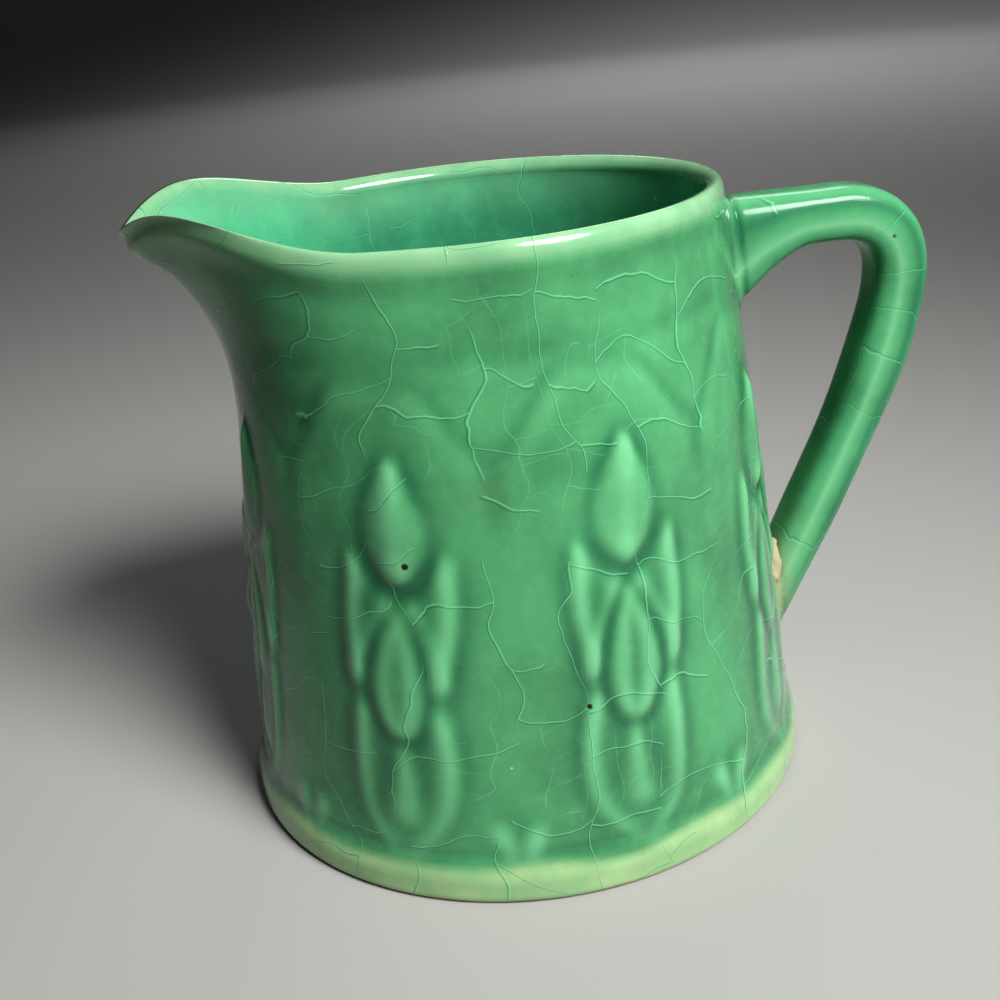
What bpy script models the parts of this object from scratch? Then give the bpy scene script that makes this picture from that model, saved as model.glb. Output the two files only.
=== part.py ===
"""Small ceramic pitcher: tapered wall, pouring spout, flanged foot, loop handle, leaf relief.

Row frame: metres, +Z up, origin on the body's axis in the plane of the foot.
+X points from the axis to the handle and -X to the spout.
"""
import math

import bmesh
import bpy
from mathutils import Vector

MM = 0.001
GAP = 0.3 * MM                      # clearance between neighbouring pieces

# Body: a hollow cone that narrows towards the rim.
RIM_HEIGHT = 127.0 * MM
WALL_RADIUS_AT_TABLE = 62.3 * MM    # outer surface carried down to z = 0
WALL_RADIUS_AT_RIM = 50.2 * MM
WALL_THICKNESS = 4.4 * MM
LIP_CREST_RADIUS = 49.25 * MM       # highest line of the round part of the lip
LIP_OUTSIDE = 0.95 * MM             # from the crest out to the wall's outer surface
LIP_ROUND = 2.2 * MM                # height of the rounding at the top of the wall

# Foot: a flanged ring round the wall, and the floor inside it.
FOOT_RADIUS = 63.3 * MM
FOOT_HEIGHT = 9.0 * MM
FOOT_EDGE = 1.1 * MM
LEDGE_HEIGHT = 2.7 * MM
FLOOR_THICKNESS = 6.0 * MM
FLOOR_EDGE = 0.8 * MM

# Spout: the crest line leaves the round lip along a cubic curve to the tip.
SPOUT_REACH = 71.8 * MM
SPOUT_SIDE_PULL = 31.6 * MM         # how far the side of the lip runs on before it turns in
SPOUT_TIP_PULL = 22.2 * MM          # how blunt the tip is
SHOULDER_RISE = 7.0 * MM
TIP_RISE = 1.2 * MM
FLARE_START = 85.5 * MM             # height at which the wall starts to lean out
FLARE_POWER = 2.75
SPOUT_JOINT_TURN = 0.14             # where the spout's edge meets the round lip
LIP_SLIT = 0.005                    # part of the lip curve left open at each of those edges
SPOUT_JOINT_DROP = 12.0 * MM
SPOUT_ROOT = 82.0 * MM

# Handle: the centre line in the plane y = 0, as (x, z) points of straight and cubic runs.
HANDLE_TOP = 114.3 * MM
HANDLE_START_X = 44.0 * MM          # inside the wall, where the ends are cut off again
HANDLE_BEND = ((76.5 * MM, HANDLE_TOP), (85.5 * MM, HANDLE_TOP),
               (90.6 * MM, 109.0 * MM), (90.2 * MM, 100.0 * MM))
HANDLE_GRIP = ((90.2 * MM, 100.0 * MM), (89.2 * MM, 82.0 * MM),
               (73.2 * MM, 52.0 * MM), (54.5 * MM, 15.0 * MM))
HANDLE_HALF_WIDTHS = (7.2 * MM, 7.2 * MM, 6.2 * MM)      # top run, bend, lower end
HANDLE_HALF_DEPTHS = (5.7 * MM, 5.9 * MM, 5.0 * MM)
FILLET_DEPTH = 15.5 * MM            # the underside drops this much where it meets the wall
FILLET_LENGTH = 20.0 * MM
FILLET_POWER = 1.6
HANDLE_SQUARENESS = 2.5
JOINT_PAD = 2.4 * MM                # thickness of the clay that holds each end
JOINT_OVERHANG = 1.3 * MM           # how far that clay stands out round the handle

# Relief: one bunch of leaves and a bud, repeated round the wall.
MOTIF_COUNT = 8
MOTIF_FIRST_ANGLE = math.radians(-75.35)
RELIEF_HEIGHT = 1.0 * MM
RELIEF_EDGE = 0.35 * MM             # thickness at the outline, and half width at each end
RELIEF_ROWS = 17
RELIEF_COLUMNS = 6
BUNCH_BOTTOM = 9.6 * MM
BUNCH_TOP = 70.0 * MM
BUNCH_HALF_WIDTH = 10.6 * MM
BUD_BOTTOM = 58.0 * MM
BUD_TOP = 90.0 * MM
BUD_HALF_WIDTH = 5.6 * MM

ROUND_COLUMNS = 30                  # columns of the wall over the half away from the spout
SPOUT_COLUMNS = 18                  # columns on each side of the spout
RING_COLUMNS = 60
LIP_STEPS = 5
TOP_STATIONS = 12                   # sections of the handle
BEND_STATIONS = 9
GRIP_STATIONS = 18
SECTION_POINTS = 20
WALL_HEIGHTS = (0.0, 0.35, 0.65, 0.82, 0.92, 1.0)


def clear_scene():
    for thing in list(bpy.data.objects):
        bpy.data.objects.remove(thing, do_unlink=True)


def make_material(name, colour, roughness):
    material = bpy.data.materials.new(name)
    material.use_nodes = True
    shader = material.node_tree.nodes["Principled BSDF"]
    shader.inputs["Base Color"].default_value = (*colour, 1.0)
    shader.inputs["Roughness"].default_value = roughness
    shader.inputs["Metallic"].default_value = 0.0
    return material


def add_object(name, mesh, material, parent):
    piece = bpy.data.objects.new(name, mesh)
    bpy.context.scene.collection.objects.link(piece)
    piece.parent = parent
    if material:
        mesh.materials.append(material)
    return piece


def mesh_from_grid(name, rings, closed_along):
    """Skin a list of point loops. The loops close into a torus or get a cap at each end."""
    bm = bmesh.new()
    grid = [[bm.verts.new(point) for point in ring] for ring in rings]
    count = len(grid[0])
    last = len(grid) if closed_along else len(grid) - 1
    for i in range(last):
        this = grid[i]
        following = grid[(i + 1) % len(grid)]
        for j in range(count):
            k = (j + 1) % count
            bm.faces.new((this[j], this[k], following[k], following[j]))
    if not closed_along:
        bm.faces.new(list(reversed(grid[0])))
        bm.faces.new(grid[-1])
    bmesh.ops.triangulate(bm, faces=bm.faces)
    bmesh.ops.recalc_face_normals(bm, faces=bm.faces)
    mesh = bpy.data.meshes.new(name)
    bm.to_mesh(mesh)
    bm.free()
    mesh.shade_smooth()
    mesh.set_sharp_from_angle(angle=math.radians(35))
    return mesh


def turned_mesh(name, profile, columns):
    """Turn a closed (radius, height) profile round the axis."""
    rings = []
    for i in range(columns):
        angle = 2 * math.pi * i / columns
        rings.append([(r * math.cos(angle), r * math.sin(angle), z) for r, z in profile])
    return mesh_from_grid(name, rings, True)


def cubic(points, t):
    s = 1 - t
    weights = (s ** 3, 3 * s * s * t, 3 * s * t * t, t ** 3)
    return tuple(sum(w * p[axis] for w, p in zip(weights, points)) for axis in (0, 1))


def smooth_step(low, high, value):
    t = min(max((value - low) / (high - low), 0.0), 1.0)
    return t * t * (3 - 2 * t)


def wall_radius(z):
    """Outer radius of the plain cone."""
    return WALL_RADIUS_AT_TABLE + (WALL_RADIUS_AT_RIM - WALL_RADIUS_AT_TABLE) * z / RIM_HEIGHT


LIP_CURVE = ((0.0, LIP_CREST_RADIUS), (SPOUT_SIDE_PULL, LIP_CREST_RADIUS),
             (SPOUT_REACH, SPOUT_TIP_PULL), (SPOUT_REACH, 0.0))


def lip_crest(turn):
    """Crest line from the side of the body (turn 0) to the spout's tip (turn 1)."""
    return Vector(cubic(LIP_CURVE, turn))


def lip_height(turn):
    """The lip rises to a shoulder on each side and drops again at the tip."""
    rise = SHOULDER_RISE * smooth_step(0.25, 0.66, turn)
    drop = (SHOULDER_RISE - TIP_RISE) * smooth_step(0.66, 1.0, turn)
    return RIM_HEIGHT + rise - drop


def lip_offset(turn, distance):
    """A point beside the crest line: distance outwards along its normal."""
    step = 0.002
    start = lip_crest(max(turn - step, 0.0))
    end = lip_crest(min(turn + step, 1.0))
    along = (end - start).normalized()
    outward = Vector((-along.y, along.x))
    return lip_crest(turn) + distance * outward


class Column:
    """One upright slice of the wall: its outer and inner surface and its lip."""

    def __init__(self, angle, turn, side):
        self.turn = turn
        self.side = side
        if turn is None:
            self.top = RIM_HEIGHT
            self.outer_angle = angle
            self.inner_angle = angle
            self.outer_reach = LIP_CREST_RADIUS + LIP_OUTSIDE
            self.inner_reach = self.outer_reach - WALL_THICKNESS
            return
        outer = lip_offset(turn, LIP_OUTSIDE)
        inner = lip_offset(turn, LIP_OUTSIDE - WALL_THICKNESS)
        self.top = lip_height(turn)
        self.outer_angle = math.pi - side * math.atan2(outer.y, outer.x)
        self.inner_angle = math.pi - side * math.atan2(inner.y, inner.x)
        self.outer_reach = outer.length
        self.inner_reach = inner.length

    def flare(self, z, reach, plain):
        t = (z - FLARE_START) / (self.top - FLARE_START)
        return (reach - plain) * max(t, 0.0) ** FLARE_POWER

    def outer(self, z):
        r = wall_radius(z) + self.flare(z, self.outer_reach, wall_radius(self.top))
        return (r * math.cos(self.outer_angle), r * math.sin(self.outer_angle), z)

    def inner(self, z):
        plain = wall_radius(self.top) - WALL_THICKNESS
        r = wall_radius(z) - WALL_THICKNESS + self.flare(z, self.inner_reach, plain)
        return (r * math.cos(self.inner_angle), r * math.sin(self.inner_angle), z)

    def loop(self, bottom, top):
        """Closed slice from bottom to top, with a rounded lip if it reaches the crest."""
        cut = top < self.top
        shoulder = top if cut else top - LIP_ROUND
        heights = [bottom + (shoulder - bottom) * share for share in WALL_HEIGHTS]
        outside = [self.outer(z) for z in heights]
        inside = [self.inner(z) for z in reversed(heights)]
        start = Vector(outside[-1])
        end = Vector(inside[0])
        crown = []
        for i in range(1, LIP_STEPS):
            turn = math.pi * i / LIP_STEPS
            point = start.lerp(end, 0.5 - 0.5 * math.cos(turn))
            point.z += 0.0 if cut else LIP_ROUND * math.sin(turn)
            crown.append(tuple(point))
        return outside + crown + inside


def spout_joint_height(turn):
    """Lower edge of the spout piece, from the round lip down to the root."""
    upper = RIM_HEIGHT - SPOUT_JOINT_DROP
    share = (turn - SPOUT_JOINT_TURN) / (1 - SPOUT_JOINT_TURN)
    return SPOUT_ROOT + (upper - SPOUT_ROOT) * (1 - share) ** 1.6


def spout_turns():
    """Columns from the joint on one side, over the tip, to the joint on the other side."""
    turns = [SPOUT_JOINT_TURN + (1 - SPOUT_JOINT_TURN) * i / (SPOUT_COLUMNS - 1)
             for i in range(SPOUT_COLUMNS)]
    there = [(turn, 1) for turn in turns]
    back = [(turn, -1) for turn in reversed(turns[:-1])]
    return there + back


def wall_top(column):
    """The wall reaches the lip, or stops below the spout piece."""
    if column.turn is None or column.turn < SPOUT_JOINT_TURN:
        return column.top
    return spout_joint_height(column.turn) - GAP


def build_body_wall(material, parent):
    edge = SPOUT_JOINT_TURN - LIP_SLIT
    columns = []
    for i in range(ROUND_COLUMNS + 1):
        columns.append(Column(-math.pi / 2 + math.pi * i / ROUND_COLUMNS, None, 1))
    columns += [Column(None, turn, 1) for turn in (edge / 2, edge)]
    columns += [Column(None, turn, side) for turn, side in spout_turns()]
    columns += [Column(None, turn, -1) for turn in (edge, edge / 2)]
    bottom = LEDGE_HEIGHT + GAP
    loops = [column.loop(bottom, wall_top(column)) for column in columns]
    mesh = mesh_from_grid("body_wall", loops, True)
    return add_object("body_wall", mesh, material, parent)


def build_spout(material, parent):
    loops = []
    for turn, side in spout_turns():
        column = Column(None, turn, side)
        loops.append(column.loop(spout_joint_height(turn), column.top))
    mesh = mesh_from_grid("pouring_spout", loops, False)
    return add_object("pouring_spout", mesh, material, parent)


def build_foot_ring(material, parent):
    """Flange with a rounded edge. The wall stands on its ledge, inside its upper lip."""
    inner = wall_radius(0) - WALL_THICKNESS - GAP
    profile = [
        (inner, 0.0),
        (FOOT_RADIUS - FOOT_EDGE, 0.0),
        (FOOT_RADIUS - 0.3 * FOOT_EDGE, 0.3 * FOOT_EDGE),
        (FOOT_RADIUS, FOOT_EDGE),
        (FOOT_RADIUS, 0.4 * FOOT_HEIGHT),
        (FOOT_RADIUS - 0.4 * MM, 0.7 * FOOT_HEIGHT),
        (wall_radius(FOOT_HEIGHT) + GAP + 0.7 * MM, FOOT_HEIGHT),
        (wall_radius(FOOT_HEIGHT) + GAP, FOOT_HEIGHT),
        (wall_radius(LEDGE_HEIGHT) + GAP, LEDGE_HEIGHT),
        (inner, LEDGE_HEIGHT),
    ]
    mesh = turned_mesh("foot_ring", profile, RING_COLUMNS)
    return add_object("foot_ring", mesh, material, parent)


def build_floor(material, parent):
    """Solid disc with eased edges, level with the foot ring underneath."""
    radius = wall_radius(FLOOR_THICKNESS) - WALL_THICKNESS - 2 * GAP
    bm = bmesh.new()
    bmesh.ops.create_cone(bm, cap_ends=True, cap_tris=False, segments=RING_COLUMNS,
                          radius1=radius, radius2=radius, depth=FLOOR_THICKNESS)
    rim = [edge for edge in bm.edges if abs(edge.verts[0].co.z - edge.verts[1].co.z) < 1e-6]
    upper = [edge for edge in rim if edge.verts[0].co.z > 0]
    bmesh.ops.bevel(bm, geom=upper, offset=FLOOR_EDGE, segments=1, affect="EDGES")
    bmesh.ops.triangulate(bm, faces=bm.faces)
    mesh = bpy.data.meshes.new("base_floor")
    bm.to_mesh(mesh)
    bm.free()
    floor = add_object("base_floor", mesh, material, parent)
    floor.location.z = FLOOR_THICKNESS / 2
    return floor


def handle_path():
    """Centre line points with a share: 0 to 1 along the top, 1 to 2 down to the lower wall."""
    stations = []
    for i in range(TOP_STATIONS):
        t = i / TOP_STATIONS
        x = HANDLE_START_X + (HANDLE_BEND[0][0] - HANDLE_START_X) * t
        stations.append(((x, HANDLE_TOP), t))
    for i in range(BEND_STATIONS):
        stations.append((cubic(HANDLE_BEND, i / BEND_STATIONS), 1.0))
    for i in range(GRIP_STATIONS + 1):
        share = i / GRIP_STATIONS
        stations.append((cubic(HANDLE_GRIP, share), 1.0 + share))
    return stations


def fillet_drop(x, share):
    """How far the underside of the top run hangs down beside the upper wall."""
    if share >= 1:
        return 0.0
    start = WALL_RADIUS_AT_RIM
    t = 1 - (x - start) / FILLET_LENGTH
    return FILLET_DEPTH * min(max(t, 0.0), 1.0) ** FILLET_POWER


def blend_of_three(values, share):
    if share <= 1:
        return values[0] + (values[1] - values[0]) * share
    return values[1] + (values[2] - values[1]) * (share - 1)


def swept_loops(stations, extra):
    """Rounded-square sections square to the centre line."""
    loops = []
    centres = [Vector((x, 0, z)) for (x, z), _ in stations]
    for i, ((x, _), share) in enumerate(stations):
        along = centres[min(i + 1, len(centres) - 1)] - centres[max(i - 1, 0)]
        along.normalize()
        outward = Vector((0, 1, 0)).cross(along)
        half_width = blend_of_three(HANDLE_HALF_WIDTHS, share) + extra
        drop = fillet_drop(x, share)
        half_depth = blend_of_three(HANDLE_HALF_DEPTHS, share) + extra + drop / 2
        middle = centres[i] - Vector((0, 0, drop / 2))
        loop = []
        for j in range(SECTION_POINTS):
            angle = 2 * math.pi * j / SECTION_POINTS
            c = math.cos(angle)
            s = math.sin(angle)
            w = math.copysign(abs(c) ** (2 / HANDLE_SQUARENESS), c) * half_width
            d = math.copysign(abs(s) ** (2 / HANDLE_SQUARENESS), s) * half_depth
            loop.append(tuple(middle + Vector((0, w, 0)) + outward * d))
        loops.append(loop)
    return loops


def cone_cutter(name, clearance, parent):
    """Solid cone that stands proud of the wall by the clearance. It only cuts."""
    low = -20 * MM
    high = RIM_HEIGHT + 20 * MM
    bm = bmesh.new()
    bmesh.ops.create_cone(bm, cap_ends=True, cap_tris=False, segments=96,
                          radius1=wall_radius(low) + clearance,
                          radius2=wall_radius(high) + clearance, depth=high - low)
    mesh = bpy.data.meshes.new(name)
    bm.to_mesh(mesh)
    bm.free()
    cutter = add_object(name, mesh, None, parent)
    cutter.location.z = (low + high) / 2
    cutter.hide_render = True
    cutter.display_type = "WIRE"
    return cutter


def add_boolean(piece, cutter, operation):
    modifier = piece.modifiers.new(cutter.name, "BOOLEAN")
    modifier.operation = operation
    modifier.object = cutter
    modifier.solver = "EXACT"


def build_handle(material, parent, end_cutter):
    mesh = mesh_from_grid("handle", swept_loops(handle_path(), 0.0), False)
    handle = add_object("handle", mesh, material, parent)
    add_boolean(handle, end_cutter, "DIFFERENCE")
    return handle


def build_joint(name, stations, material, parent, wall_cutter, outer_cutter):
    """Clay pad between the wall and one end of the handle, slightly wider than the handle."""
    mesh = mesh_from_grid(name, swept_loops(stations, JOINT_OVERHANG), False)
    joint = add_object(name, mesh, material, parent)
    add_boolean(joint, wall_cutter, "DIFFERENCE")
    add_boolean(joint, outer_cutter, "INTERSECT")
    return joint


def joint_clearance(stations, parent):
    """Space round the lower joint that the relief leaves free. It only cuts."""
    loops = swept_loops(stations, JOINT_OVERHANG + 2 * GAP)
    cutter = add_object("joint_clearance", mesh_from_grid("joint_clearance", loops, False),
                        None, parent)
    cutter.hide_render = True
    cutter.display_type = "WIRE"
    return cutter


def relief_half_width(z):
    """Outline of one motif: a round-ended bunch of leaves under a pointed bud."""
    widths = [RELIEF_EDGE]
    if BUNCH_BOTTOM <= z <= BUNCH_TOP:
        middle = (BUNCH_BOTTOM + BUNCH_TOP) / 2
        share = abs(z - middle) / (BUNCH_TOP - middle)
        widths.append(BUNCH_HALF_WIDTH * (1 - share ** 4) ** 0.5)
    if BUD_BOTTOM <= z <= BUD_TOP:
        share = (z - BUD_BOTTOM) / (BUD_TOP - BUD_BOTTOM)
        widths.append(BUD_HALF_WIDTH * (1 - share ** 3))
    return max(widths)


def build_motif(name, angle, material, parent):
    """Low mound that follows the wall with a clearance behind it."""
    rings = []
    for i in range(RELIEF_ROWS):
        share = 0.5 - 0.5 * math.cos(math.pi * i / (RELIEF_ROWS - 1))
        z = BUNCH_BOTTOM + (BUD_TOP - BUNCH_BOTTOM) * share
        half_width = relief_half_width(z)
        back = wall_radius(z) + GAP
        taper = math.sin(math.pi * min(max(share, 0.01), 0.99)) ** 0.3
        outside = []
        inside = []
        for j in range(RELIEF_COLUMNS + 1):
            across = -1 + 2 * j / RELIEF_COLUMNS
            turn = angle + across * half_width / back
            crown = RELIEF_HEIGHT * (1 - across ** 4) * taper
            r = back + RELIEF_EDGE + crown
            outside.append((r * math.cos(turn), r * math.sin(turn), z))
            inside.append((back * math.cos(turn), back * math.sin(turn), z))
        rings.append(outside + inside[::-1])
    return add_object(name, mesh_from_grid(name, rings, False), material, parent)


def build_relief(material, parent, clearance):
    for i in range(MOTIF_COUNT):
        angle = MOTIF_FIRST_ANGLE + 2 * math.pi * i / MOTIF_COUNT
        motif = build_motif(f"leaf_relief_{i + 1}", angle, material, parent)
        if abs(angle) < math.radians(25):
            add_boolean(motif, clearance, "DIFFERENCE")


def main():
    clear_scene()
    pitcher = bpy.data.objects.new("pitcher", None)
    bpy.context.scene.collection.objects.link(pitcher)
    glaze = make_material("green_glaze", (0.03, 0.26, 0.13), 0.12)
    handle_glaze = make_material("handle_glaze", (0.05, 0.32, 0.16), 0.12)
    foot_glaze = make_material("foot_glaze", (0.22, 0.45, 0.20), 0.2)
    relief_glaze = make_material("relief_glaze", (0.09, 0.36, 0.19), 0.12)
    bisque = make_material("bare_clay", (0.62, 0.52, 0.38), 0.85)

    wall_cutter = cone_cutter("wall_clearance", GAP, pitcher)
    pad_cutter = cone_cutter("pad_outer_face", GAP + JOINT_PAD, pitcher)
    handle_cutter = cone_cutter("handle_clearance", 2 * GAP + JOINT_PAD, pitcher)
    stations = handle_path()
    upper_end = stations[:5]
    lower_end = stations[-9:]

    build_body_wall(glaze, pitcher)
    build_spout(glaze, pitcher)
    build_foot_ring(foot_glaze, pitcher)
    build_floor(bisque, pitcher)
    build_handle(handle_glaze, pitcher, handle_cutter)
    build_joint("handle_upper_joint", upper_end, handle_glaze, pitcher, wall_cutter, pad_cutter)
    build_joint("handle_lower_joint", lower_end, handle_glaze, pitcher, wall_cutter, pad_cutter)
    build_relief(relief_glaze, pitcher, joint_clearance(lower_end, pitcher))


main()
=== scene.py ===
"""Looks of the small green pitcher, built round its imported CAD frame.

Lengths are in metres. Relief and glaze details are written in millimetres and scaled by MM.
"""

import math

import bpy
import numpy as np
from mathutils import Matrix, Vector


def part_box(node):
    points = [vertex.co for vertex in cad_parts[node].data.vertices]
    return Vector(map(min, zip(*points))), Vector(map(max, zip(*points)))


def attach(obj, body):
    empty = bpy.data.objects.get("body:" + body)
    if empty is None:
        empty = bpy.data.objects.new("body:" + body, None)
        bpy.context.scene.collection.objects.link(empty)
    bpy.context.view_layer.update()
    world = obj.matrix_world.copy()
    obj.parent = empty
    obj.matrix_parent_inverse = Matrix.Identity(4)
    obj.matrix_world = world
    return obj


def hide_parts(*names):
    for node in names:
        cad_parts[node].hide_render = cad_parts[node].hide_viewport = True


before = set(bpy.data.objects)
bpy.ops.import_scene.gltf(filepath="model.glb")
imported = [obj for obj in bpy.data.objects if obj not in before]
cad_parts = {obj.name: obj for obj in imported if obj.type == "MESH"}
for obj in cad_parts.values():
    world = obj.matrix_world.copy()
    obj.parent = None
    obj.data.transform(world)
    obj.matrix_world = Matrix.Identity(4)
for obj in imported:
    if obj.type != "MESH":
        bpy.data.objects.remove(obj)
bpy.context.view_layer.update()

MM = 0.001
ROOT = "root"

# ---------------------------------------------------------------- sizes from the frame
wall_low, wall_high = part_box("body_wall")
spout_low, spout_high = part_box("pouring_spout")
foot_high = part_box("foot_ring")[1]
floor_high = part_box("base_floor")[1]

RIM_HEIGHT = wall_high[2]
FOOT_RADIUS = foot_high[0]
FOOT_HEIGHT = foot_high[2]
FLOOR_TOP = floor_high[2]
WALL_TAPER = 0.0953                       # radius lost per unit of height
WALL_BASE_RADIUS = wall_high[0] + WALL_TAPER * wall_low[2]
WALL_THICKNESS = 4.4 * MM

# Lip: its crest line leaves the round rim along a cubic curve to the spout's tip.
CREST_INSET = 0.95 * MM                   # from the wall's outer surface in to the crest
CREST_RADIUS = WALL_BASE_RADIUS - WALL_TAPER * RIM_HEIGHT - CREST_INSET
SPOUT_REACH = -spout_low[0] + 0.9 * MM
SPOUT_SIDE_PULL = 31.6 * MM
SPOUT_TIP_PULL = 22.2 * MM
SHOULDER_RISE = spout_high[2] - RIM_HEIGHT
TIP_RISE = 1.2 * MM
FLARE_START = 85.5 * MM
FLARE_POWER = 2.75
LIP_OUTER_DROP = 3.4 * MM
LIP_INNER_DROP = 3.2 * MM
LIP_INNER_WIDTH = 2.7 * MM
SEAM_DEPTH = 4.6 * MM                     # where the outer skin hands over to the inner one
INSIDE_THIN = 0.30                        # how thin the glaze is just inside the lip
FOOT_EDGE_ROUNDING = 1.6 * MM
FLOOR_COVE = 9.0 * MM                     # radius between the inner wall and the floor
FLOW_RADIUS = 55.0 * MM                   # turns a bearing into a distance round the wall

# Handle: the same centre line as the CAD strap, carried on into the wall at both ends.
HANDLE_TOP_LINE = 114.3 * MM
HANDLE_BEND = ((76.5 * MM, 114.3 * MM), (85.5 * MM, 114.3 * MM),
               (90.6 * MM, 109.0 * MM), (90.2 * MM, 100.0 * MM))
HANDLE_GRIP = ((90.2 * MM, 100.0 * MM), (89.2 * MM, 82.0 * MM),
               (73.2 * MM, 52.0 * MM), (54.5 * MM, 15.0 * MM))
HANDLE_START_X = 48.0 * MM
HANDLE_HALF_WIDTHS = (7.2 * MM, 7.2 * MM, 6.2 * MM)
HANDLE_HALF_DEPTHS = (5.7 * MM, 5.9 * MM, 5.0 * MM)
HANDLE_SQUARENESS = 3.3
FILLET_DEPTH = 15.5 * MM
FILLET_LENGTH = 20.0 * MM
FILLET_POWER = 1.6
COLLAR_THICKNESS = 1.9 * MM               # the clay pad between wall and handle
COLLAR_OVERHANG = 1.2 * MM
HANDLE_SECTION_POINTS = 72
HANDLE_FLOW_START = 600 * MM              # keeps its cracks apart from those of the wall
CRUMB_FIRST_COLUMN = 4                    # of the handle's section, counted from its near side
CRUMB_SEARCH_STATION = 140                # start of the search down the grip
CRUMB_SIDES = 14

# Relief: the bunch of leaves that repeats round the wall.
MOTIFS = 8
MOTIF_FIRST_ANGLE = math.radians(-75.35)
RELIEF_SHARE = 0.68                       # how much of the written relief height is used

# Resolution of the glazed skin.
ROUND_COLUMNS = 250
SPOUT_COLUMNS = 125
FOOT_ROWS = 16
WALL_ROWS = 130
LIP_ROWS = 14
INNER_ROWS = 4

# Camera, in the row frame.
CAMERA_PLACE = (-0.0279, -0.2658, 0.1699)
CAMERA_TURN = math.radians(-5.35)
CAMERA_TILT = math.radians(-22.41)
CAMERA_ROLL = math.radians(-6.18)
CAMERA_LENS = 46.65
CAMERA_SHIFT = (0.011, 0.001)


# ---------------------------------------------------------------- small helpers
def ramp(low, high, value):
    """Smooth step from 0 at low to 1 at high."""
    t = np.clip((value - low) / (high - low), 0.0, 1.0)
    return t * t * (3 - 2 * t)


def cubic(points, t):
    """Point at share t along a cubic curve with four control points."""
    s = 1 - t
    weights = (s ** 3, 3 * s * s * t, 3 * s * t * t, t ** 3)
    return [sum(w * p[axis] for w, p in zip(weights, points)) for axis in (0, 1)]


def blur(field, rounds, wrap):
    """Repeated three-point averages along columns, which may wrap, and rows."""
    out = field.copy()
    for _ in range(rounds):
        if wrap:
            out = (np.roll(out, 1, 1) + 2 * out + np.roll(out, -1, 1)) / 4
        padded = np.vstack([out[:1], out, out[-1:]])
        out = (padded[:-2] + 2 * out + padded[2:]) / 4
    return out


def grid_mesh(name, points, wrap, attributes):
    """Mesh from a rows x columns x 3 array, with float attributes of the same shape."""
    rows, columns = points.shape[:2]
    mesh = bpy.data.meshes.new(name)
    last = columns if wrap else columns - 1
    i, j = np.meshgrid(np.arange(rows - 1), np.arange(last), indexing="ij")
    k = (j + 1) % columns
    quads = np.stack([i * columns + j, i * columns + k, (i + 1) * columns + k,
                      (i + 1) * columns + j], -1).reshape(-1, 4)
    mesh.from_pydata(points.reshape(-1, 3).tolist(), [], quads.tolist())
    for key, values in attributes.items():
        layer = mesh.attributes.new(key, "FLOAT", "POINT")
        layer.data.foreach_set("value", values.astype(np.float32).ravel())
    mesh.shade_smooth()
    mesh.update()
    return mesh


def run_down(points, start):
    """Distance travelled along each column of a grid, from a given start."""
    steps = np.linalg.norm(np.diff(points, axis=0), axis=-1)
    first = np.broadcast_to(start, steps[:1].shape)
    return np.cumsum(np.vstack([first, steps]), axis=0)


def add_piece(name, mesh, material, nodes):
    """Visible object that rides the pitcher's body and stands for the given CAD nodes."""
    piece = bpy.data.objects.new(name, mesh)
    bpy.context.scene.collection.objects.link(piece)
    mesh.materials.append(material)
    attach(piece, ROOT)
    if nodes:
        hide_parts(*nodes)
    return piece


# ---------------------------------------------------------------- shape of the wall
def wall_radius(z):
    """Radius of the plain cone at height z."""
    return WALL_BASE_RADIUS - WALL_TAPER * z


def crest_line(turn):
    """Top of the lip in plan, from the side (0) to the spout's tip (1)."""
    points = ((0.0, CREST_RADIUS), (SPOUT_SIDE_PULL, CREST_RADIUS),
              (SPOUT_REACH, SPOUT_TIP_PULL), (SPOUT_REACH, 0.0))
    return np.stack(cubic(points, turn), -1)


def beside_crest(turn, distance):
    """Points at a distance outward from the crest line, in plan."""
    step = 0.002
    start = crest_line(np.clip(turn - step, 0, 1))
    end = crest_line(np.clip(turn + step, 0, 1))
    along = (end - start) / np.linalg.norm(end - start, axis=-1, keepdims=True)
    outward = np.stack([-along[:, 1], along[:, 0]], -1)
    return crest_line(turn) + distance * outward


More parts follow.
